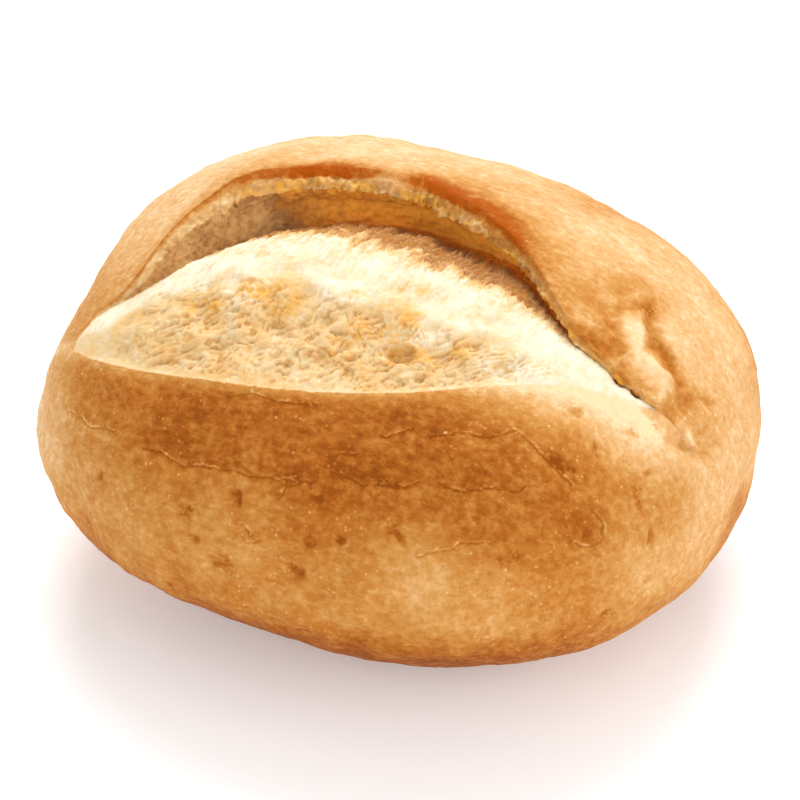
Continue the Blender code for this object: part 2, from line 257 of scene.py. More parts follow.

# The crumpled crust by the slash's narrow end: station, angle, height in mm and how much darker than its
# surroundings, for the corners of its flat facets; and the pairs that a crease joins. The darkness is
# painted shade on facets turned from the light, and below 0 painted light on facets turned to it.
CRUMPLES = (
    # along the slash's lip
    (0.435, 89.0, 0.0, 0.06), (0.51, 84.0, -0.2, 0.12), (0.645, 76.0, 0.2, -0.17),
    (0.69, 75.5, 0.1, -0.06), (0.755, 76.0, 0.1, -0.06), (0.805, 76.5, -0.1, 0.12),
    (0.885, 76.5, -0.1, 0.0),
    # the raised facet, painted pale as lit
    (0.675, 86.0, 0.5, -0.29), (0.645, 88.0, 0.4, -0.24), (0.62, 91.0, 0.4, -0.26),
    (0.655, 93.5, 0.5, -0.31), (0.685, 90.5, 0.6, -0.36),
    # the dent in front of it
    (0.645, 83.5, -0.4, 0.29), (0.6, 82.5, -0.7, 0.43), (0.545, 83.5, -0.5, 0.36),
    # the fold behind the dent
    (0.55, 86.0, 0.1, -0.14), (0.525, 93.0, -0.2, 0.19), (0.59, 90.5, -0.2, 0.22),
    # the small fold by the ear
    (0.54, 95.0, 0.1, -0.07), (0.575, 98.0, -0.2, 0.19), (0.6, 95.0, -0.2, 0.22),
    (0.57, 94.5, 0.1, -0.05), (0.605, 99.0, 0.1, -0.06),
    # the groove, in painted shade
    (0.615, 105.5, -0.1, 0.17), (0.65, 103.5, -0.2, 0.22), (0.645, 99.0, -0.4, 0.43),
    (0.67, 99.0, -0.5, 0.46), (0.68, 95.0, -0.4, 0.24), (0.7, 95.0, -0.5, 0.26),
    (0.71, 91.5, -0.5, 0.41), (0.74, 93.5, -0.7, 0.48), (0.77, 92.5, -0.8, 0.55),
    (0.785, 90.0, -0.7, 0.5),
    # the groove's right end
    (0.8, 89.0, -0.4, 0.29), (0.82, 88.5, -0.5, 0.43), (0.835, 87.5, -0.1, 0.06),
    # the ridge beside the groove
    (0.695, 86.5, 0.5, -0.34), (0.735, 86.5, 0.5, -0.34), (0.78, 86.0, 0.4, -0.29),
    (0.79, 81.0, 0.3, -0.22), (0.79, 78.0, 0.2, -0.14), (0.715, 83.0, 0.3, -0.24),
    (0.76, 82.0, 0.2, -0.16),
    # the hollow by the lip
    (0.67, 79.0, -0.2, 0.29), (0.715, 78.5, -0.1, 0.17), (0.76, 78.5, 0.0, 0.12),
    # behind the groove
    (0.705, 97.5, 0.1, -0.05), (0.735, 96.0, 0.1, -0.07), (0.78, 93.5, 0.1, -0.07),
    (0.825, 92.0, 0.1, -0.05),
    # the dimples by the right end
    (0.815, 84.5, 0.2, 0.12), (0.85, 89.0, 0.1, 0.12), (0.875, 88.5, 0.1, 0.0),
    (0.84, 83.5, -0.5, 0.31), (0.86, 87.0, -0.4, 0.31), (0.835, 77.5, -0.3, 0.26),
    (0.855, 78.5, 0.1, 0.0), (0.875, 84.5, -0.2, 0.19), (0.885, 79.5, -0.2, 0.24),
    (0.89, 83.5, 0.1, 0.0), (0.89, 92.0, -0.2, 0.26), (0.905, 91.5, 0.1, 0.0),
    # two small dents
    (0.63, 87.0, -0.2, 0.24), (0.67, 84.5, -0.1, 0.14),
    # where the crust is flat again, behind
    (0.415, 92.0, 0.0, 0.0), (0.495, 101.0, 0.0, 0.0), (0.58, 109.0, 0.0, 0.0),
    (0.725, 110.0, 0.0, 0.0), (0.825, 107.5, 0.0, 0.0), (0.91, 99.5, 0.0, 0.0),
    # the pinch at the slash's end
    (0.89, 77.0, -0.2, 0.0), (0.855, 69.5, -0.7, 0.22), (0.89, 71.0, -0.9, 0.26),
    (0.93, 74.0, -0.6, 0.2), (0.89, 74.0, 0.4, -0.12),
    # where the crust is flat again, in front
    (0.91, 64.5, 0.3, -0.05), (0.865, 63.5, 0.1, 0.0), (0.95, 88.0, 0.0, 0.0), (0.96, 64.0, 0.0, 0.0),
    (0.88, 57.0, 0.0, 0.0), (0.815, 66.0, 0.0, 0.0),
)
CREASES = (
    (2, 7), (7, 8), (8, 9), (9, 10), (10, 11), (11, 36), (7, 36), (36, 37), (37, 38), (38, 39),
    (39, 40), (12, 62), (13, 14), (16, 17), (19, 20), (23, 24), (25, 26), (26, 27), (27, 28),
    (28, 30), (29, 30), (30, 31), (31, 32), (33, 34), (43, 44), (44, 45), (3, 4), (50, 51),
    (53, 54), (71, 72), (72, 73),
)
CRUMPLE_MIDDLE = (0.74, 86.0)
CRUMPLE_REACH = 22.0
CREASE_SOFTNESS = 0.16
CREASE_WAVER = 0.5
CREASE_WAVER_SIZE = 0.0016


def keyed(keys, at):
    """A smooth curve through the keys that never overshoots them."""
    key, value = np.array(keys, float).T
    secant = np.diff(value) / np.diff(key)
    before = np.concatenate([secant[:1], secant])
    after = np.concatenate([secant, secant[-1:]])
    agree = before * after > 0
    slope = np.where(agree, 2 * before * after / np.where(agree, before + after, 1), 0)
    i = np.clip(np.searchsorted(key, at) - 1, 0, len(key) - 2)
    width = key[i + 1] - key[i]
    t = np.clip((at - key[i]) / width, 0, 1)
    level = value[i] + (3 * t**2 - 2 * t**3) * (value[i + 1] - value[i])
    lean = (t**3 - 2 * t**2 + t) * slope[i] + (t**3 - t**2) * slope[i + 1]
    return level + width * lean


def ease(start, end, at):
    """0 at the start, 1 at the end and smooth between."""
    t = np.clip((at - start) / (end - start), 0, 1)
    return t * t * (3 - 2 * t)


def bell(gap):
    return np.exp(-(gap**2))


def on_loaf(station, angle):
    """Points on the skin of the unslashed loaf."""
    station = np.clip(station, -1, 1)
    fullness = np.where(station < 0, LEFT_FULLNESS, RIGHT_FULLNESS)
    girth = np.clip(1 - np.abs(station) ** fullness, 0, 1) ** (1 / fullness)
    up = np.sin(np.radians(angle))
    forward = np.cos(np.radians(angle))
    power = 2 / np.where(up > 0, DOME_FULLNESS, FOOT_FULLNESS)
    rise = np.abs(up) ** power
    y = -HALF_WIDTH * girth * np.sign(forward) * np.abs(forward) ** power
    above = BELLY + (CROWN * (1 + CROWN_LEAN * station) - BELLY) * girth * rise
    below = BELLY - FOOT_DROP * BELLY * girth**FOOT_TAPER * rise
    z = np.where(up > 0, above, below)
    z = np.where(z > FOOT_ROUNDING, z, np.maximum(z, 0) ** 2 / FOOT_ROUNDING)
    return np.stack([HALF_LENGTH * station + 0 * y, y, z], axis=-1)


def unit(vectors):
    return vectors / np.maximum(np.linalg.norm(vectors, axis=-1, keepdims=True), 1e-12)


def loaf_axes(station, angle):
    """Unit vectors along the roll and round it, in the skin of the unslashed loaf."""
    along = on_loaf(station + 0.003, angle) - on_loaf(station - 0.003, angle)
    around = on_loaf(station, angle + 0.2) - on_loaf(station, angle - 0.2)
    return unit(along), unit(around)


def noise_at(points, size, seed):
    flat = points.reshape(-1, 3) / size + seed
    return np.array([noise.noise(p) for p in flat.tolist()]).reshape(points.shape[:-1])


def ridges_at(points, size, seed):
    """Noise with sharp crests, from 0 in the hollows to 1 on the crests."""
    return 1 - np.minimum(np.abs(noise_at(points, size, seed)) * 2.6, 1)


def plates_at(height_up, points, thickness, waviness, seed):
    """Torn layers that overlap: each rises slowly, from 0 to 1, and ends in a ragged step."""
    layer = height_up / thickness + waviness * noise_at(points, 0.0030, seed)
    layer += 0.35 * waviness * noise_at(points, 0.0011, seed + 2)
    rise = layer - np.floor(layer)
    return np.where(rise < 0.84, rise / 0.84, (1 - rise) / 0.16)


def wander(station, size, seed):
    """Smooth noise along the roll."""
    along = np.stack([station * HALF_LENGTH, 0 * station, 0 * station], axis=-1)
    return noise_at(along, size, seed)


def row_of(station, angle, depth):
    return np.stack([station, angle + 0 * station, depth + 0 * station], axis=-1)[:, None]


def span(start, end, rows, crowd=0.0):
    """Rows from start up to, not including, end; crowd above 0 packs them near the end."""
    t = (np.arange(rows) / rows)[None, :, None]
    return start + (end - start) * (t + crowd * t * (1 - t))


def fray(station, t):
    """How far the crumb's torn top edge is drawn out or falls short, as a share of the crumb."""
    across = station[:, None] * HALF_LENGTH / MM + 0 * t
    hair = np.stack([across / 0.55, 6.0 * t + 0 * across, 0 * across + 2.3], axis=-1)
    tuft = np.stack([across / 1.3, 3.0 * t + 0 * across, 0 * across + 4.7], axis=-1)
    clump = np.stack([across / 4.1, 2.0 * t + 0 * across, 0 * across + 9.1], axis=-1)
    ragged = 0.032 * noise_at(hair, 1, 0.0) + 0.026 * noise_at(tuft, 1, 0.0)
    ragged += 0.030 * noise_at(clump, 1, 0.0)
    return -ragged * ease(0.42, 0.60, t) * (1 - ease(0.84, 0.98, t))


def crumb_span(lip, throat, station):
    t = CRUMB_SHARE
    step = keyed(LIP_STEP, station)[:, None] * (1 - np.exp(-t / LIP_STEP_REACH)) * (1 - t)
    swell = keyed(CRUMB_SWELL, station)[:, None] * np.sin(math.pi * np.clip(t / 0.8, 0, 1))
    wide = np.maximum(throat[..., 1] - lip[..., 1], 1.0)
    crest = np.clip((keyed(CREST_ANGLE, station)[:, None] - lip[..., 1]) / wide, 0.02, 0.5)
    hollow = keyed(FACET_HOLLOW, station)[:, None] * np.sin(math.pi * np.clip(t / crest, 0, 1))
    crumb = span(lip, throat, CRUMB_ROWS)
    frayed = np.clip(t + fray(station, t), 0, 1)
    crumb[..., 2] = throat[..., 2] * keyed(CRUMB_SAG, frayed) + step - swell + hollow
    return crumb


def sections(station):
    """Station, angle and depth of every row of every section."""
    ear_station = station + keyed(EAR_LIP_SHIFT, station)
    ear_angle = keyed(EAR_LIP_ANGLE, station)
    throat_angle = ear_angle + keyed(OVERHANG_ANGLE, station)
    throat_depth = keyed(THROAT_DEPTH, station)
    ragged = 0.6 * wander(station, 0.0042, 101.0) + 0.6 * wander(station, 0.0016, 103.0)
    ragged += 0.5 * wander(station, 0.0007, 109.0)
    rim_angle = ear_angle - keyed(RIM_LEAN, station) * (1 + 0.9 * ragged)
    rim_depth = keyed(RIM_DEPTH, station) * (1 + 0.8 * wander(station, 0.0030, 105.0))
    lift = keyed(EAR_LIFT, station) * (1 + 0.25 * wander(station, 0.0050, 107.0))

    base = row_of(station, -90, 0)
    base_front = row_of(station, EDGE_OF_BASE, 0)
    lip = row_of(station, keyed(FRONT_LIP_ANGLE, station), 0)
    throat = row_of(0.6 * station + 0.4 * ear_station, throat_angle, throat_depth)
    ceiling_angle = 0.8 * throat_angle + 0.2 * rim_angle
    ceiling = row_of(0.3 * station + 0.7 * ear_station, ceiling_angle, 0.5 * throat_depth)
    rim = row_of(0.15 * station + 0.85 * ear_station, rim_angle, rim_depth)
    ear = row_of(ear_station, ear_angle, -lift)
    base_back = row_of(station, 180 - EDGE_OF_BASE, 0)

    back = span(ear, base_back, BACK_ROWS, -CROWDING)
    behind = back[..., 1] - ear[..., 1]
    back[..., 2] = -lift[:, None] * bell(behind / EAR_LIFT_REACH)
    return np.concatenate(
        [
            span(base, base_front, BASE_ROWS),
            span(base_front, lip, FRONT_ROWS, CROWDING),
            crumb_span(lip, throat, station),
            span(throat, ceiling, RECESS_ROWS),
            span(ceiling, rim, RECESS_ROWS),
            span(rim, ear, RIM_ROWS),
            back,
            span(base_back, row_of(station, 270, 0), FOOT_ROWS),
        ],
        axis=1,
    )


def polyline_gap(points, line):
    """Distance in mm from each point to a line through places on the loaf."""
    nearest = np.full(points.shape[:-1], 1e3)
    ends = [on_loaf(np.array(station), angle) for station, angle in line]
    for start, end in zip(ends, ends[1:]):
        way = end - start
        t = np.clip((points - start) @ way / max(way @ way, 1e-12), 0, 1)
        nearest = np.minimum(nearest, np.linalg.norm(points - start - t[..., None] * way, axis=-1))
    return nearest / MM


def mark_gap(points, station, angle, radius_mm, stretch=1.0, lean=0.0):
    """Distance from a mark's middle, 1 at its edge."""
    along, around = loaf_axes(np.array(station), angle)
    gap = (points - on_loaf(np.array(station), angle)) / (radius_mm * MM)
    a, b = gap @ along, gap @ around
    c, s = math.cos(math.radians(lean)), math.sin(math.radians(lean))
    deep = np.linalg.norm(gap, axis=-1) > 3 * stretch
    return np.where(deep, 9.0, np.hypot((a * c + b * s) / stretch, b * c - a * s))


def fold_height(points):
    """Height in metres of the folds and dents at each point of the unslashed loaf."""
    height = np.zeros(points.shape[:-1])
    for from_station, from_angle, to_station, to_angle, half_width, rise in FOLDS:
        gap = polyline_gap(points, ((from_station, from_angle), (to_station, to_angle)))
        height += rise * MM * bell(gap / half_width)
    return height


def crumple_fields(points, rows):
    """Height in mm of the crumpled crust by the slash's narrow end, and how much darker it is painted:
    shade on facets turned from the light, lighter on those turned to it.
    """
    middle = on_loaf(np.array(CRUMPLE_MIDDLE[0]), CRUMPLE_MIDDLE[1])
    along, around = loaf_axes(np.array(CRUMPLE_MIDDLE[0]), CRUMPLE_MIDDLE[1])
    far = np.linalg.norm(points - middle, axis=-1) / (CRUMPLE_REACH * MM)
    near = np.argwhere(far < 1)
    (low, first), (high, last) = near.min(axis=0), near.max(axis=0) + 1
    patch = points[low:high, first:last]
    gap = (patch - middle) / MM
    waver = CREASE_WAVER * noise_at(patch, CREASE_WAVER_SIZE, 51.0)
    u, v = gap @ along + waver, gap @ around - waver

    corners = [(on_loaf(np.array(corner[0]), corner[1]) - middle) / MM for corner in CRUMPLES]
    flat = [Vector((float(corner @ along), float(corner @ around))) for corner in corners]
    places, _, facets, origins, _, _ = delaunay_2d_cdt(flat, CREASES, [], 0, 1e-4)
    total = np.zeros((2, *u.shape))
    shifts = ((0, 0), (1, 0), (-0.5, 0.87), (-0.5, -0.87))
    for facet in facets:
        (ax, ay), (bx, by), (cx, cy) = [places[corner] for corner in facet]
        size = (bx - ax) * (cy - ay) - (cx - ax) * (by - ay)
        levels = [CRUMPLES[origins[corner][0]][2:] if origins[corner] else (0.0, 0.0) for corner in facet]
        for right, up in shifts:
            x, y = u + right * CREASE_SOFTNESS, v + up * CREASE_SOFTNESS
            second = ((x - ax) * (cy - ay) - (cx - ax) * (y - ay)) / size
            third = ((bx - ax) * (y - ay) - (x - ax) * (by - ay)) / size
            on_it = (second >= 0) & (third >= 0) & (second + third <= 1)
            for field_at, (a, b, c) in zip(total, zip(*levels)):
                field_at += np.where(on_it, a + (b - a) * second + (c - a) * third, 0)
    behind = np.where(np.arange(ROWS) >= RIM_ROW, 1.0, 0.0)[None]
    fields = np.zeros((2, *points.shape[:-1]))
    fields[:, low:high, first:last] = total / len(shifts)
    return fields * np.maximum(behind, ease(0.83, 0.87, rows[..., 0]))


def crack_fields(points, rows):
    """Distance in mm to the nearest crack, and how far above (below 0: under) it a place is."""
    nearest = np.full(points.shape[:-1], CRACK_FAR)
    side = np.zeros(points.shape[:-1])
    _, around = loaf_axes(rows[..., 0], rows[..., 1])
    for line in CRACKS:
        ends = [on_loaf(np.array(station), angle) for station, angle in line]
        for start, end in zip(ends, ends[1:]):
            way = end - start
            t = np.clip((points - start) @ way / max(way @ way, 1e-12), 0, 1)
            gap = (points - start - t[..., None] * way) / MM
            distance = np.linalg.norm(gap, axis=-1)
            above = np.sign((gap * around).sum(-1))
            closer = distance < nearest
            side = np.where(closer, above * np.minimum(distance, CRACK_REACH), side)
            nearest = np.minimum(distance, nearest)
    return nearest, side * (1 - ease(1.2, 2.2, nearest))


def pock_map(points):
    """How far into a pock each place is, from 0 at its border to 1 in its middle."""
    pocked = np.zeros(points.shape[:-1])
    for station, angle, long, wide, lean in POCKS:
        gap = mark_gap(points, station, angle, wide, long / wide, lean)
        pocked = np.maximum(pocked, np.clip(1.5 - gap, 0, 1.5) / 1.5)
    return pocked


def surface_normals(points):
    """Outward normals of the grid of points, from its neighbours along and round the roll."""
    along = np.gradient(points, axis=0)
    around = np.roll(points, -1, axis=1) - np.roll(points, 1, axis=1)
    return unit(np.cross(along, around))


def body_form(rows, station):
    """The roll's form, without its fine relief."""
    skin = on_loaf(rows[..., 0], rows[..., 1])
    along, around = loaf_axes(rows[..., 0], rows[..., 1])
    normal = unit(np.cross(along, around))
    height = fold_height(skin) + SKIN_LUMP * noise_at(skin, SKIN_LUMP_SIZE, 7.0)
    height += MM * crumple_fields(skin, rows)[0]

    past_lip = np.clip((np.arange(ROWS) - FRONT_LIP_ROW) / CRAG_FADE_ROWS, 0, 1)
    past_lip[THROAT_ROW + RECESS_ROWS :] = 0
    wide = rows[:, THROAT_ROW, 1] - rows[:, FRONT_LIP_ROW, 1]
    open_share = np.clip(keyed(THROAT_DEPTH, station) / CRAGGY_DEPTH, 0, 1)
    crag = np.zeros(skin.shape[:-1])
    torn = slice(FRONT_LIP_ROW, RIM_ROW)
    crag[:, torn] = noise_at(skin[:, torn], CRAG_SIZE, 3.0)
    crag[:, torn] += 0.5 * noise_at(skin[:, torn], CRAG_SIZE / 2, 5.0)
    crag[:, torn] *= 1 - 0.65 * ease(0.40, 0.62, (np.arange(RIM_ROW - FRONT_LIP_ROW) / CRUMB_ROWS))
    height += CRAG * crag * past_lip[None] * (np.clip(wide / CRAG_SPREAD, 0, 1) * open_share)[:, None]

    height *= np.clip((skin[..., 2] - BARE_FOOT) / FORM_FADE, 0, 1)
    return skin, skin + (height - rows[..., 2])[..., None] * normal


def slanted(points, reach, lean, long, short, seed):
    """Places for noise that is drawn out at a lean from the roll's length; sizes in mm."""
    u = points[..., 0] / MM
    c, s = math.cos(math.radians(lean)), math.sin(math.radians(lean))
    return np.stack([(u * c + reach * s) / long, (reach * c - u * s) / short, 0 * u + seed], axis=-1)


def fibres_at(points, reach, lean, long, short, seed):
    """Torn fibres at a lean from the roll's length, above 0 on their crests; sizes in mm."""
    return ridges_at(slanted(points, reach, lean, long, short, seed), 1, 0.0) - 0.6


def summed(heights, fields):
    """The sum of the fields, each times its own height."""
    return sum(height * fields[name] for name, height in heights.items())


def scattered_holes(rng):
    """Small pits at random places of the torn face, listed as in CRUMB_HOLES."""
    holes = []
    for _ in range(SMALL_HOLES):
        station = rng.uniform(-0.60, 0.46)
        low = float(keyed(FRONT_LIP_ANGLE, np.array(station))) + 2.5
        high = float(keyed(CREST_ANGLE, np.array(station)))
        angle = low + (high - low) * rng.uniform(0, 1) ** 0.8
        holes.append((station, angle, rng.uniform(0.30, 0.60), rng.uniform(1.2, 3.0), rng.uniform(10, 55)))
    return tuple(holes)


def torn_relief(points, reach, crest, rng):
    """Height in mm of the crumb's flakes, strands and holes, and how hollow each place is."""
    face = 1 - ease(0.85, 1.15, CRUMB_SHARE / crest)
    bend = points + 0.0009 * noise_at(points, 0.0030, 21.0)[..., None]
    rising = reach * math.cos(math.radians(25)) - points[..., 0] / MM * math.sin(math.radians(25))
    fields = {
        "plates": plates_at(rising, bend, 3.3, 1.9, 41.0) - 0.5,
        "flakes": fibres_at(bend, reach, 34, 2.6, 1.0, 3.0),
        "scales": fibres_at(bend, reach, 40, 1.3, 0.55, 8.0),
        "strands": fibres_at(bend, reach, 78, 3.6, 0.60, 5.0),
        "threads": fibres_at(bend, reach, 84, 2.2, 0.34, 15.0),
        "fuzz": noise_at(points, 0.0008, 61.0),
        "swells": noise_at(points, 0.0052, 31.0),
        "clumps": noise_at(points, 0.0024, 35.0),
    }
    height = face * summed(FACE_HEIGHTS, fields) + (1 - face) * summed(TOP_HEIGHTS, fields)
    depth = face * summed(FACE_DEPTHS, fields)
    depth += (1 - face) * (summed(TOP_DEPTHS, fields) + 0.06)
    hollow = ease(0.04, -0.36, depth)
    for line, half_width, rise in CRUMB_FOLDS:
        fold = rise * bell(polyline_gap(points, line) / half_width)
        height += fold
        hollow = np.maximum(hollow, 0.5 * np.clip(-fold, 0, 1))
    for station, angle, radius, stretch, lean in CRUMB_HOLES + scattered_holes(rng):
        gap = mark_gap(points, station, angle, radius, stretch, lean)
        pit = 1 - ease(0.30, 1.05, gap)
        height += radius * (0.18 * bell((gap - 1.15) / 0.25) - 0.55 * pit)
        hollow = np.maximum(hollow, 0.85 * pit)
    return height, hollow


def crumb_surface(points, past_front, station, crest, wide, room, rng):
    """Height in mm of the torn crumb's whole relief, and how hollow each place is."""
    relief, pits = torn_relief(points, past_front, crest, rng)
    left = (ease(-0.80, -0.36, station) * 0.75 + 0.25)[:, None]
    tame = ease(0.0, 1.8, past_front) * (1 - 0.75 * ease(0.50, 0.75, CRUMB_SHARE))
    tame = tame * left * np.clip(wide / CRAG_SPREAD, 0, 1)[:, None]
    tame_left = left * ease(0.0, 0.3, CRUMB_SHARE)
    wisps = fibres_at(points, past_front, 80, 2.6, 0.42, 25.0)
    fuzz = wisps * 0.34 + 0.14 * noise_at(points, 0.0007, 63.0)
    frayed = 0.12 + 0.88 * ease(0.50, 0.66, CRUMB_SHARE)
    height = 0.90 * relief * tame + fuzz * frayed * tame_left * room
    hollow = pits * tame + 0.35 * ease(0.1, -0.5, wisps) * ease(0.45, 0.60, CRUMB_SHARE) * tame_left
    return height, hollow


def ear_surface(points, reach, behind_ear, station, room):
    """Height in mm of the ear's torn underside and rim, how hollow it is, and its bare grains."""
    drawn = points * np.array([0.55, 1.0, 1.0])
    fields = {
        "grains": ridges_at(drawn, 0.0012, 81.0) - 0.55,
        "lumps": noise_at(drawn, 0.0024, 85.0),
        "crumbs": noise_at(points, 0.0006, 87.0),
        "threads": fibres_at(points, reach, 80, 2.8, 0.50, 89.0),
    }
    grains = summed(RIM_HEIGHTS, fields)
    pits = ease(0.22, -0.30, summed(RIM_DEPTHS, fields))
    at_ear = 1 - ease(-EAR_EDGE_FADE, 0.2, behind_ear + 0.5 * keyed(EAR_EDGE, station)[:, None])
    smooth_left = (0.45 + 0.55 * ease(-0.52, -0.25, station))[:, None]
    height = grains * room * (0.16 + 0.84 * at_ear) * smooth_left
    hollow = pits * room * (0.20 + 0.35 * at_ear) * smooth_left
    return height, hollow, grains


def crust_surface(skin, gap, side, pocked, leathery):
    """Height in mm of the crust's lumps, wrinkles, cracks and pocks; 0 where the roll is torn."""
    fields = {
        "lumps": noise_at(skin, 0.0060, 93.0),
        "dimples": noise_at(skin, 0.0026, 95.0),
        "wrinkles": ridges_at(skin * np.array([0.35, 1.0, 1.0]), 0.0012, 91.0) - 0.6,
    }
    crusty = np.ones(ROWS)
    crusty[TORN.start : RECESS.stop] = 0
    height = summed(CRUST_HEIGHTS, fields) * crusty * leathery
    height += CRACK_STEP * np.tanh(side / 0.22) * (1 - ease(0.5, 1.8, gap)) * crusty
    height -= POCK_DEPTH * ease(0.1, 0.8, pocked) * crusty
    return height


# How the crust is baked, from 0, pale gold, to 1, dark brown: the front and the back are keyed by
# the angle round the section, and what the rest is keyed by is the station.
FRONT_BAKE = (
    (-60.0, 0.92), (-30.0, 0.98), (-20.0, 0.92), (-11.0, 0.74), (0.0, 0.54), (8.0, 0.49), (15.0, 0.52),
    (25.0, 0.66), (36.0, 0.84), (50.0, 0.84), (62.0, 0.62), (75.0, 0.40),
)
FRONT_SHARE = (
    (-1.0, 0.05), (-0.92, 0.25), (-0.8, 0.55), (-0.6, 0.86), (-0.3, 1.0), (0.2, 1.0), (0.45, 0.95),
    (0.65, 0.82), (0.85, 0.60), (1.0, 0.5),
)
BACK_BAKE = (
    (75.0, 0.23), (95.0, 0.20), (115.0, 0.14), (140.0, 0.25), (160.0, 0.48), (180.0, 0.60),
    (200.0, 0.66), (240.0, 0.80),
)
BACK_LEAN = ((-1.0, -0.03), (-0.6, -0.03), (-0.2, 0.0), (0.1, 0.04), (0.5, 0.06), (0.8, 0.04), (1.0, 0.04))
# The tips' own bake, keyed by the angle above the ground on either side.
LEFT_TIP_BAKE = ((-60.0, 0.66), (-30.0, 0.46), (-10.0, 0.32), (20.0, 0.20), (90.0, 0.12))
RIGHT_TIP_BAKE = ((-60.0, 0.60), (-30.0, 0.38), (-10.0, 0.28), (20.0, 0.24), (90.0, 0.20))
# How burnt the ear's lip is.
EAR_BURN = (
    (-0.85, 0.0), (-0.70, 0.15), (-0.60, 0.35), (-0.48, 0.70), (-0.36, 1.0), (-0.24, 0.85), (-0.16, 0.35),
    (-0.10, 0.6), (-0.05, 1.0), (0.20, 0.95), (0.30, 0.62), (0.42, 0.25), (0.56, 0.0), (0.675, 0.0),
    (0.692, 0.25), (0.724, 0.0), (0.745, 0.2), (0.765, 0.0),
)
EAR_BURN_REACH = (
    (-0.6, 0.5), (-0.42, 1.4), (-0.30, 1.9), (-0.16, 1.1), (-0.06, 1.6), (0.02, 2.5), (0.14, 3.2),
    (0.28, 3.0), (0.5, 1.8), (0.62, 0.25), (0.8, 0.25),
)
# How far in mm the burn reaches down the cut edge below the lip.
BURN_BELOW = (
    (-0.62, 0.1), (-0.48, 1.0), (-0.28, 1.3), (-0.16, 0.5), (-0.05, 1.1), (0.10, 0.8), (0.3, 0.5),
    (0.5, 0.2),
)
# The golden line along the ear's left end.
LEFT_LINE = ((-0.86, 0.0), (-0.76, 0.18), (-0.58, 0.28), (-0.46, 0.22), (-0.36, 0.0))
PALEST = 0.10
# How far in mm the crust's cut edge shows below the ear's lip.
EAR_EDGE = ((-0.8, 0.1), (-0.6, 0.8), (-0.4, 1.7), (0.0, 2.1), (0.3, 1.9), (0.45, 1.1), (0.7, 0.3))


# Where the crumb's top edge starts to turn tan and darker, as a share of the crumb, partly real tan and
# partly painted shade of the ear; how toasted the hollow under the ear is, with painted shade at its left
# end and painted light, a colour brighter than the crumb's, where it is deepest; and how toasted the ear's
# torn rim is.
SHADED_FRINGE_START = (
    (-1.0, 0.95), (-0.6, 0.92), (-0.5, 0.86), (-0.41, 0.74), (-0.31, 0.67), (-0.20, 0.61), (-0.07, 0.535),
    (0.05, 0.545), (0.14, 0.57), (0.24, 0.585), (0.33, 0.605), (0.45, 0.67), (0.65, 0.85),
)
# The recess under the ear: painted shade at its left end, and where it is deepest, painted light, a bright
# colour that its shade darkens to orange-brown.
RECESS_TOAST_AND_LIGHT = (
    (-0.7, 0.58), (-0.50, 0.60), (-0.43, 0.63), (-0.36, 0.82), (-0.25, 0.92), (-0.12, 1.0), (0.40, 1.0),
    (0.62, 0.84), (0.9, 0.84),
)
RIM_TOAST = (
    (-0.7, 0.42), (-0.50, 0.50), (-0.38, 0.56), (-0.25, 0.56), (0.0, 0.58), (0.2, 0.58), (0.6, 0.56),
)
# Where small gaps show between the ear and the crumb by the slash's narrow end; there the colour is
# painted bright, painted light, so that their shade comes out brown.
LIP_GAP_LIGHT = ((0.66, 0.0), (0.682, 1.0), (0.70, 0.8), (0.718, 0.0), (0.736, 0.9), (0.757, 0.0))


def bake_map(rows, past_front, behind_ear, dents, clouds):
    """How dark the crust is baked, from 0, pale gold, to 1, dark brown, plus the dents: painted shade and
    light of the crust's dents, folds and creases.
    """
    station, angle = rows[..., 0], rows[..., 1]
    share = keyed(FRONT_SHARE, station)
    front = PALEST + (keyed(FRONT_BAKE, angle) - PALEST) * share
    front -= 0.45 * front * bell(past_front / 1.3)
    narrow = ease(0.25, 0.65, station) * (1 - ease(0.80, 0.95, station))
    front -= 0.44 * bell(past_front / 8.0) * narrow
    back = keyed(BACK_BAKE, angle) + keyed(BACK_LEAN, station)
    back += 0.13 * ease(-0.15, 0.40, station) * bell((behind_ear - 4.0) / 6.0)
    back += 0.14 * (1 - ease(-0.50, -0.28, station)) * bell((behind_ear - 4.0) / 7.0)
    singed = bell(np.maximum(behind_ear, 0) / (1.5 * keyed(EAR_BURN_REACH, station)))
    below = -behind_ear - keyed(BURN_BELOW, station)
    back += 0.55 * keyed(EAR_BURN, station) * singed * (1 - 0.6 * ease(0.0, 0.9, below))
    back += keyed(LEFT_LINE, station) * bell(behind_ear / 0.45)
    slashed = ease(-0.86, -0.78, station) * (1 - ease(0.80, 0.90, station))
    past = slashed * (behind_ear > -4.0) + (1 - slashed) * ease(45.0, 105.0, angle)
    bake = front + (back - front) * past
    low = np.where(angle < 90, angle, 180 - angle)
    bake += clouds
    bake += (keyed(LEFT_TIP_BAKE, low) - bake) * ease(-0.86, -0.97, station)
    bake += (keyed(RIGHT_TIP_BAKE, low) - bake) * ease(0.90, 0.98, station)
    # The dents add painted shade in the crust's hollows and painted light on its raised folds.
    return bake + dents


def burn_map(station, behind_ear):
    """How burnt the ear's lip is, from 0 to 1."""
    reach = keyed(EAR_BURN_REACH, station)
    below = -behind_ear - keyed(BURN_BELOW, station)
    behind = bell(np.maximum(behind_ear, 0) / reach) * (1 - 0.8 * ease(0.0, 0.9, below))
    return keyed(EAR_BURN, station) * np.where(behind_ear > -4.0, behind, 0)


def cloud_map(skin, station, leathery):
    """How much more or less the oven browned each place of the crust."""
    cloudy = leathery * (1 - 0.7 * ease(0.60, 0.90, np.abs(station)))
    clouds = (0.08 * noise_at(skin, 0.0125, 121.0) + 0.06 * noise_at(skin, 0.0045, 125.0)) * cloudy
    for area_station, angle, radius, more in BROWNED_AREAS:
        clouds += more * bell(mark_gap(skin, area_station, angle, radius))
    return clouds


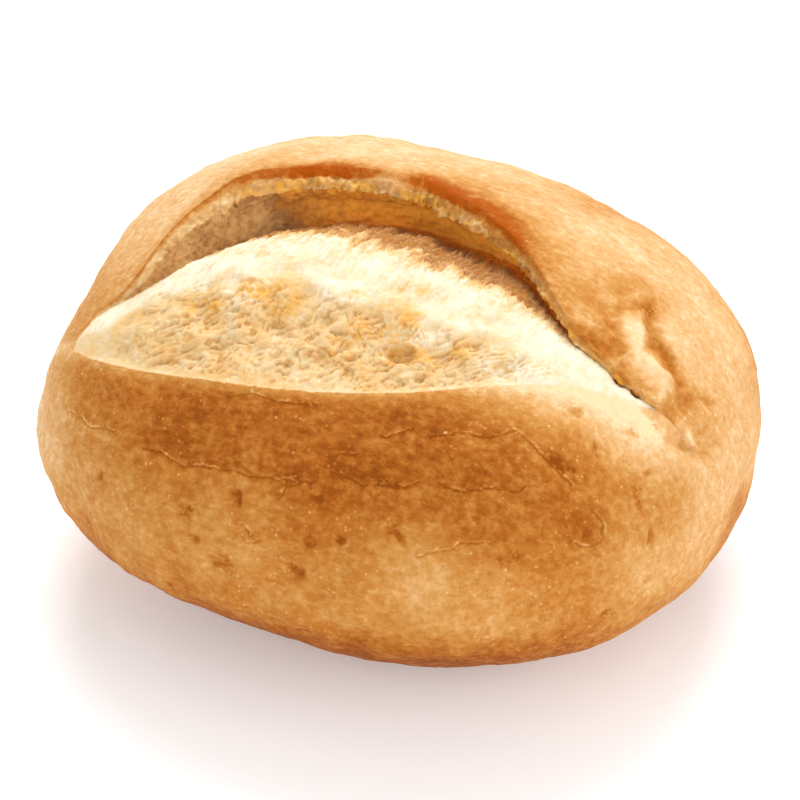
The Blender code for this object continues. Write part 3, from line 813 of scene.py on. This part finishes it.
def inside_map(points, past_front, behind_ear, station):
    """How far in mm inside the torn parts each place is; below 0 it is crust."""
    edge = keyed(EAR_EDGE, station)[:, None] * (1 + 0.5 * wander(station, 0.0045, 99.0)[:, None])
    edge = edge + 0.45 * noise_at(points, 0.0013, 97.0)
    soft_left = (1 - ease(-0.72, -0.60, station))[:, None]
    soft_right = ease(0.42, 0.62, station)[:, None]
    above_lip = past_front * (1 - 0.60 * soft_right) - 0.20 * soft_right
    below_ear = (-behind_ear - edge) * (1 - 0.80 * soft_left)
    inside = np.minimum(above_lip, below_ear)
    opening = ease(-0.86, -0.76, station) * (1 - ease(0.76, 0.87, station))
    shut = (1 - opening)[:, None]
    inside = np.where(inside > 0, inside * (1 - shut) - 0.8 * shut, inside)
    return np.clip(inside, -6, 6)


def crumb_toast_and_shade(points, station, crest, room):
    """How toasted, and how golden, each place of the torn crumb is, with the ear's shade painted on its
    top edge and painted light, a bright colour, by the throat.
    """
    ragged_crest = CRUMB_SHARE / crest + 0.9 * noise_at(points, 0.0075, 71.0)
    golden = (1 - ease(0.75, 1.2, ragged_crest)) * (1 - ease(0.30, 0.50, station))[:, None]
    toast = 0.05 + 0.27 * golden
    gold = 0.14 * golden
    for spot_station, angle, radius, more in TOASTED_SPOTS:
        spot = more * bell(mark_gap(points, spot_station, angle, radius, 1.6, 40.0))
        toast += 0.5 * spot
        gold += 1.9 * spot
    pinched = (1 - ease(-0.72, -0.36, station))[:, None]
    toast += (0.31 - toast) * 0.75 * pinched * (1 - ease(0.35, 0.6, CRUMB_SHARE))
    # The top edge under the ear turns tan and dark: partly real, partly painted shade of the ear.
    top_edge = keyed(SHADED_FRINGE_START, station)[:, None]
    drawn = points * np.array([1.0, 0.3, 0.3])
    ragged_top = CRUMB_SHARE + 0.07 * noise_at(drawn, 0.0009, 73.0)
    ragged_top += 0.04 * noise_at(drawn, 0.0024, 75.0)
    shaded_fringe = ease(top_edge, top_edge + 0.16, ragged_top) * room
    toast += (0.70 - toast) * shaded_fringe
    gold *= 1 - shaded_fringe
    # By the throat the crumb takes the recess's bright colour: painted light for the shade there.
    right_of_pinch = ease(-0.40, -0.30, station)[:, None]
    toast += (0.92 - toast) * ease(0.86, 0.98, CRUMB_SHARE) * right_of_pinch
    return toast, gold


def toast_and_light_maps(points, station, crest, room, grains):
    """How toasted, and how golden, each place is where the roll tore open, with painted shade and painted
    light mixed into how toasted it is.
    """
    toast = np.full(points.shape[:-1], 0.95)
    gold = np.zeros(points.shape[:-1])
    toast[:, TORN], gold[:, TORN] = crumb_toast_and_shade(points[:, TORN], station, crest, room)
    # Paler on the crests of the rim's grains: painted highlight.
    tips = 0.24 * ease(0.05, 0.45, grains[:, RIM_ROW - THROAT_ROW :])
    # The recess's colour: partly real toasting, partly painted shade at the left and painted light where
    # it is deepest.
    toast[:, THROAT_ROW:RIM_ROW] = keyed(RECESS_TOAST_AND_LIGHT, station)[:, None]
    toast[:, RIM] = keyed(RIM_TOAST, station)[:, None] - tips
    gold[:, RIM] = 0.50 * ease(-0.60, -0.35, station)[:, None]
    # The gaps take a bright colour: painted light, so that their deep shade comes out brown.
    gap_rows = slice(THROAT_ROW - 3, EAR_LIP_ROW)
    toast[:, gap_rows] += (0.95 - toast[:, gap_rows]) * keyed(LIP_GAP_LIGHT, station)[:, None]
    return toast, gold


def roll_surface():
    """The points of the roll's fine mesh, and the values its material reads at each."""
    evenly = np.linspace(-1, 1, SECTIONS + 1)
    station = EVENNESS * evenly + (1 - EVENNESS) * np.sin(evenly * math.pi / 2)
    rows = sections(station)
    skin, points = body_form(rows, station)

    steps = np.linalg.norm(np.diff(points, axis=1), axis=-1) / MM
    reach = np.concatenate([np.zeros((SECTIONS + 1, 1)), np.cumsum(steps, axis=1)], axis=1)
    past_front = reach - reach[:, FRONT_LIP_ROW : FRONT_LIP_ROW + 1]
    behind_ear = reach - reach[:, EAR_LIP_ROW : EAR_LIP_ROW + 1]
    lip_angle = rows[:, FRONT_LIP_ROW, 1]
    wide = np.maximum(rows[:, THROAT_ROW, 1] - lip_angle, 1.0)
    crest = np.clip((keyed(CREST_ANGLE, station) - lip_angle) / wide, 0.05, 0.5)[:, None]
    room = np.clip(keyed(THROAT_DEPTH, station) / ROOMY_DEPTH, 0, 1)[:, None]
    leathery = 1 + 1.1 * (1 - ease(2.0, 24.0, np.abs(rows[..., 1] + 4.0)))

    normal = surface_normals(points)
    height = np.zeros(points.shape[:-1])
    hollow = np.zeros(points.shape[:-1])
    rng = np.random.default_rng(HOLE_SEED)
    height[:, TORN], hollow[:, TORN] = crumb_surface(
        points[:, TORN], past_front[:, TORN], station, crest, wide, room, rng
    )
    height[:, RECESS], hollow[:, RECESS], grains = ear_surface(
        points[:, RECESS], reach[:, RECESS], behind_ear[:, RECESS], station, room
    )
    gap, side = crack_fields(skin, rows)
    pocked = pock_map(skin)
    near_lips = ease(0.0, 1.5, np.minimum(np.abs(past_front), np.abs(behind_ear)))
    height += crust_surface(skin, gap, side, pocked, leathery) * near_lips
    height *= MM * np.clip((skin[..., 2] - BARE_FOOT) / RELIEF_FADE, 0, 1)
    points = points + height[..., None] * normal

    toast, gold = toast_and_light_maps(points, station, crest, room, grains)
    # Darker in the folds' dents and paler on their crests, and the crumpled facets darker or paler:
    # painted shade and painted light.
    dents = 0.18 * np.clip(-fold_height(skin) / MM, -1, 1.4) + crumple_fields(skin, rows)[1]
    clouds = cloud_map(skin, rows[..., 0], leathery)
    values = {
        "inside": inside_map(points, past_front, behind_ear, station),
        "hollow": hollow,
        "toast": toast,
        "gold": gold,
        "bake": bake_map(rows, past_front, behind_ear, dents, clouds),
        "burn": burn_map(rows[..., 0], behind_ear),
        "crack_gap": gap,
        "crack_side": side,
        "pock": pocked,
    }
    return points, values


def clear_selection():
    for piece in bpy.data.objects:
        piece.select_set(False)


def make_roll():
    clear_selection()
    bpy.ops.mesh.primitive_uv_sphere_add(segments=ROWS, ring_count=SECTIONS, radius=1)
    roll = bpy.context.object
    roll.name = roll.data.name = "baked_roll"
    points, values = roll_surface()

    unshaped = np.empty(len(roll.data.vertices) * 3)
    roll.data.vertices.foreach_get("co", unshaped)
    x, y, z = unshaped.reshape(-1, 3).T
    section = np.round(np.arccos(np.clip(z, -1, 1)) / math.pi * SECTIONS).astype(int)
    row = np.round(np.arctan2(y, x) / math.tau * ROWS).astype(int) % ROWS
    roll.data.vertices.foreach_set("co", points[section, row].ravel())
    for name, value in values.items():
        layer = roll.data.attributes.new(name, "FLOAT", "POINT")
        layer.data.foreach_set("value", value[section, row].astype(np.float32))
    roll.data.update()

    triangles = sum(len(face.vertices) - 2 for face in roll.data.polygons)
    thin = roll.modifiers.new("thin", "DECIMATE")
    thin.ratio = min(1, MOST_TRIANGLES / triangles)
    bpy.ops.object.modifier_apply(modifier=thin.name)
    bpy.ops.object.mode_set(mode="EDIT")
    bpy.ops.mesh.select_all(action="SELECT")
    bpy.ops.mesh.dissolve_degenerate(threshold=SAME_PLACE)
    bpy.ops.object.mode_set(mode="OBJECT")
    bpy.ops.object.shade_smooth()
    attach(roll, "root")
    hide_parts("roll")
    return roll


class Socket:
    """A socket of a material that adds, subtracts, multiplies and mixes like a number."""

    def __init__(self, tree, link=None):
        self.tree = tree
        self.link = link

    def node(self, kind, settings=None, inputs=None, output=0):
        """Adds a node: its settings come first, then the values or links of its sockets."""
        made = self.tree.nodes.new(kind)
        for name, setting in (settings or {}).items():
            if name == "stops":
                self.set_stops(made.color_ramp, setting)
            else:
                setattr(made, name, setting)
        for name, value in (inputs or {}).items():
            if isinstance(value, Socket):
                self.tree.links.new(value.link, made.inputs[name])
            else:
                made.inputs[name].default_value = value
        return Socket(self.tree, made.outputs[output])

    def set_stops(self, ramp, stops):
        while len(ramp.elements) > 1:
            ramp.elements.remove(ramp.elements[-1])
        ramp.elements[0].position = stops[0][0]
        for position, color in stops[1:]:
            ramp.elements.new(position)
        for element, (position, color) in zip(ramp.elements, stops):
            element.color = (*color, 1)

    def math(self, operation, other=0.0):
        return self.node("ShaderNodeMath", {"operation": operation}, {0: self, 1: other})

    def __add__(self, other):
        return self.math("ADD", other)

    def __radd__(self, other):
        return self.math("ADD", other)

    def __sub__(self, other):
        return self.math("SUBTRACT", other)

    def __rsub__(self, other):
        return (self * -1.0).math("ADD", other)

    def __mul__(self, other):
        return self.math("MULTIPLY", other)

    def __rmul__(self, other):
        return self.math("MULTIPLY", other)

    def eased(self, start, end):
        """0 where this is at the start, 1 at the end and smooth between."""
        inputs = {"Value": self, "From Min": start, "From Max": end}
        settings = {"interpolation_type": "SMOOTHSTEP"}
        return self.node("ShaderNodeMapRange", settings, inputs)

    def ramp(self, stops):
        return self.node("ShaderNodeValToRGB", {"stops": stops}, {"Fac": self})

    def mixed(self, other, share):
        """This colour, with a share of the other over it."""
        settings = {"data_type": "RGBA"}
        inputs = {0: share, 6: self, 7: other}
        return self.node("ShaderNodeMix", settings, inputs, output=2)


CRUST_STOPS = (
    (0.0, (0.86, 0.64, 0.37)),
    (0.10, (0.80, 0.54, 0.29)),
    (0.22, (0.73, 0.41, 0.165)),
    (0.42, (0.60, 0.280, 0.070)),
    (0.62, (0.50, 0.185, 0.032)),
    (0.82, (0.39, 0.112, 0.012)),
    (1.0, (0.27, 0.062, 0.005)),
)
# The crumb's colours, from cream through golden to brown. The dark stop at 0.70 is painted shade for the
# crumb's top edge under the ear; the stop at 1.0 is painted light, bright so that the shaded recess and
# gaps under the ear come out orange-brown.
CRUMB_STOPS = (
    (0.0, (0.78, 0.70, 0.535)),
    (0.12, (0.74, 0.61, 0.42)),
    (0.28, (0.70, 0.51, 0.275)),
    (0.42, (0.67, 0.445, 0.205)),
    (0.52, (0.61, 0.35, 0.135)),
    (0.62, (0.48, 0.250, 0.090)),
    (0.70, (0.33, 0.150, 0.050)),
    (0.80, (0.48, 0.195, 0.035)),
    (1.0, (1.0, 0.45, 0.060)),
)
BURNT = (0.42, 0.080, 0.003, 1)
GOLDEN = (0.74, 0.37, 0.050, 1)
REDDER = (0.60, 0.17, 0.020, 1)


def stretched(here, place, scale, turn=(0.0, 0.0, 0.0)):
    inputs = {"Vector": place, "Rotation": tuple(math.radians(a) for a in turn), "Scale": scale}
    return here.node("ShaderNodeMapping", None, inputs)


def noise_value(here, place, scale, detail=2.0, roughness=0.5):
    """Noise spread out to fill 0 to 1."""
    inputs = {"Vector": place, "Scale": scale, "Detail": detail, "Roughness": roughness}
    return here.node("ShaderNodeTexNoise", None, inputs).eased(0.28, 0.72)


def field(here, name):
    return here.node("ShaderNodeAttribute", {"attribute_name": name}, output=2)


def crust_shader(here, place, broad, patch, grain):
    crisp = noise_value(here, place, 760.0, 6.0, 0.66)
    crinkle = noise_value(here, stretched(here, place, (0.45, 1.0, 1.0)), 1300.0, 4.0, 0.65)
    # Pale blisters, partly real and partly a painted highlight on each.
    cells = {"Vector": place, "Scale": 1500.0}
    blister_gap = here.node("ShaderNodeTexVoronoi", None, cells)
    blister_pick = here.node("ShaderNodeTexVoronoi", None, cells, output=1)
    chosen = here.node("ShaderNodeSeparateColor", None, {"Color": blister_pick})
    blister = (1.0 - (blister_gap + (grain - 0.5) * 0.30).eased(0.05, 0.40)) * chosen.eased(0.55, 1.0)
    blister = blister * (patch * 0.5 + broad).eased(0.35, 1.0)

    gap, side = field(here, "crack_gap"), field(here, "crack_side")
    near = 1.0 - gap.eased(0.15, 0.58)
    wobble = side + (crisp - 0.5) * 0.40 + (patch - 0.5) * 0.26
    broken = noise_value(here, place, 480.0, 3.0).eased(0.36, 0.80)
    edge = (1.0 - (wobble - 0.10).math("ABSOLUTE").eased(0.02, 0.34)) * near * broken
    # A painted shadow under each crack's raised edge, beside a pale line along the edge.
    under = wobble.eased(-0.60, -0.12) * (1.0 - wobble.eased(-0.12, 0.02)) * near
    pocked = field(here, "pock")
    ragged = pocked + (crisp - 0.5) * 0.50 + (patch - 0.5) * 0.45 + (grain - 0.5) * 0.25
    pock = ragged.eased(0.15, 0.95) * pocked.eased(0.0, 0.40)

    bake, burn = field(here, "bake"), field(here, "burn")
    mottle = (broad - 0.5) * 0.08 + (patch - 0.5) * 0.12 + (crisp - 0.5) * 0.30 + (crinkle - 0.5) * 0.22
    # Pocks are browner; cracks get painted shadow under their edges and a pale line; blisters are paler,
    # partly painted highlight.
    marks = pock * 0.26 + under * 0.26 + side * 0.08 - edge * 0.31 - blister * (0.12 + bake * 0.42)
    color = (bake + mottle * (0.40 + bake * 0.70) + marks).ramp(CRUST_STOPS)
    color = color.mixed(REDDER, (broad - 0.45) * (bake * 0.35))
    scorched = (burn * (1.0 + (crisp - 0.5) * 0.7 + (patch - 0.5) * 0.4)).eased(0.20, 1.0)
    color = color.mixed(BURNT, scorched)
    height = crisp * 1.5 + crinkle * 0.7 + patch * 1.2 + blister * 0.5 + wobble * near * 0.7
    bump = here.node("ShaderNodeBump", None, {"Strength": 0.9, "Distance": 0.00015, "Height": height})
    return here.node(
        "ShaderNodeBsdfPrincipled",
        None,
        {
            "Base Color": color,
            "Roughness": 0.60,
            "Specular IOR Level": 0.08,
            "Specular Tint": (1.0, 0.72, 0.40, 1),
            "Normal": bump,
        },
    )


def crumb_shader(here, place, patch, grain):
    flaky = stretched(here, place, (0.55, 1.0, 1.3), (0, 35, 0))
    flakes = noise_value(here, flaky, 1300.0, 3.0, 0.6)
    threads = noise_value(here, stretched(here, place, (1.0, 0.25, 0.25)), 1700.0, 2.0, 0.6)
    hollow, toast = field(here, "hollow"), field(here, "toast")
    golden = toast.eased(0.10, 0.30)
    varied = (patch - 0.45) * 0.18 + (flakes - 0.45) * (golden * 0.08 + 0.08) + (threads - 0.45) * 0.12
    # Hollow places are darkened: painted shade in the crumb's pits, folds and crevices.
    crumb_tone_with_painted_light = toast + (varied + hollow * 0.28) * (1.0 - toast * 0.70) - 0.02
    gold = field(here, "gold")
    speckled = (patch * 0.6 + flakes * 0.5 + grain * 0.3).eased(0.35, 1.0)
    gilded = (gold * (speckled * 1.1 + 0.25) + (patch - 0.66) * golden * 0.4).eased(0.02, 1.1)
    height = flakes * 0.7 + threads * 0.6 + grain * 0.3
    bump = here.node("ShaderNodeBump", None, {"Strength": 0.6, "Distance": 0.00010, "Height": height})
    return here.node(
        "ShaderNodeBsdfPrincipled",
        None,
        {
            "Base Color": crumb_tone_with_painted_light.ramp(CRUMB_STOPS).mixed(GOLDEN, gilded),
            "Roughness": 0.95,
            "Specular IOR Level": 0.1,
            "Subsurface Weight": 0.5,
            "Subsurface Radius": (1.0, 0.5, 0.2),
            "Subsurface Scale": 0.0012,
            "Normal": bump,
        },
    )


def bread_material():
    material = bpy.data.materials.new("baked bread")
    material.use_nodes = True
    tree = material.node_tree
    tree.nodes.clear()
    here = Socket(tree)
    place = here.node("ShaderNodeTexCoord", output=3)
    broad = noise_value(here, place, 70.0)
    patch = noise_value(here, place, 260.0, 3.0)
    grain = noise_value(here, place, 900.0, 3.0)
    crust = crust_shader(here, place, broad, patch, grain)
    crumb = crumb_shader(here, place, patch, grain)
    torn = (field(here, "inside") + (grain - 0.5) * 0.35).eased(-0.12, 0.22)
    bread = here.node("ShaderNodeMixShader", None, {0: torn, 1: crust, 2: crumb})
    output = tree.nodes.new("ShaderNodeOutputMaterial")
    tree.links.new(bread.link, output.inputs["Surface"])
    return material


# The photograph's camera, and the light of a white studio.
CAMERA_AZIMUTH = 24.0
CAMERA_ELEVATION = 38.5
CAMERA_DISTANCE = 0.45
SENSOR = 36.0
FOCAL_PIXELS = 3056
PICTURE = 800
AIM_HEIGHT = 0.026
AIM_PIXEL = (410.0, 396.8)


def make_camera():
    azimuth, elevation = math.radians(CAMERA_AZIMUTH), math.radians(CAMERA_ELEVATION)
    flat = math.cos(elevation)
    back = Vector((math.sin(azimuth) * flat, -math.cos(azimuth) * flat, math.sin(elevation)))
    right = Vector((math.cos(azimuth), math.sin(azimuth), 0))
    up = back.cross(right)
    pixel = CAMERA_DISTANCE / FOCAL_PIXELS
    aim = Vector((0, 0, AIM_HEIGHT))
    aim -= right * (AIM_PIXEL[0] - PICTURE / 2) * pixel
    aim += up * (AIM_PIXEL[1] - PICTURE / 2) * pixel
    lens = bpy.data.cameras.new("camera")
    lens.sensor_width = SENSOR
    lens.lens = FOCAL_PIXELS / PICTURE * SENSOR
    camera = bpy.data.objects.new("camera", lens)
    camera.location = aim + back * CAMERA_DISTANCE
    camera.rotation_euler = (-back).to_track_quat("-Z", "Y").to_euler()
    bpy.context.scene.collection.objects.link(camera)
    bpy.context.scene.camera = camera


def softbox(name, place, size, power):
    light = bpy.data.lights.new(name, "AREA")
    light.size = size
    light.energy = power
    lamp = bpy.data.objects.new(name, light)
    lamp.location = place
    lamp.rotation_euler = (Vector((0, 0, 0.03)) - Vector(place)).to_track_quat("-Z", "Y").to_euler()
    bpy.context.scene.collection.objects.link(lamp)


def make_studio():
    clear_selection()
    bpy.ops.mesh.primitive_plane_add(size=4, location=(0, 0, 0))
    floor = bpy.context.object
    floor.name = "floor"
    paint = bpy.data.materials.new("white floor")
    paint.use_nodes = True
    surface = paint.node_tree.nodes["Principled BSDF"]
    surface.inputs["Base Color"].default_value = (0.93, 0.93, 0.93, 1)
    surface.inputs["Roughness"].default_value = 0.9
    surface.inputs["Emission Color"].default_value = (1, 1, 1, 1)
    surface.inputs["Emission Strength"].default_value = 0.14
    floor.data.materials.append(paint)

    world = bpy.data.worlds.new("studio")
    world.use_nodes = True
    background = world.node_tree.nodes["Background"]
    background.inputs["Color"].default_value = (1, 1, 1, 1)
    background.inputs["Strength"].default_value = 0.66
    bpy.context.scene.world = world
    softbox("key", (-0.15, 0.42, 0.62), 0.5, 5.2)
    softbox("right", (0.62, -0.12, 0.30), 0.5, 2.3)
    softbox("fill", (-0.20, -0.65, 0.40), 0.6, 1.8)
    bpy.context.scene.view_settings.view_transform = "Standard"


roll = make_roll()
roll.data.materials.append(bread_material())
make_camera()
make_studio()
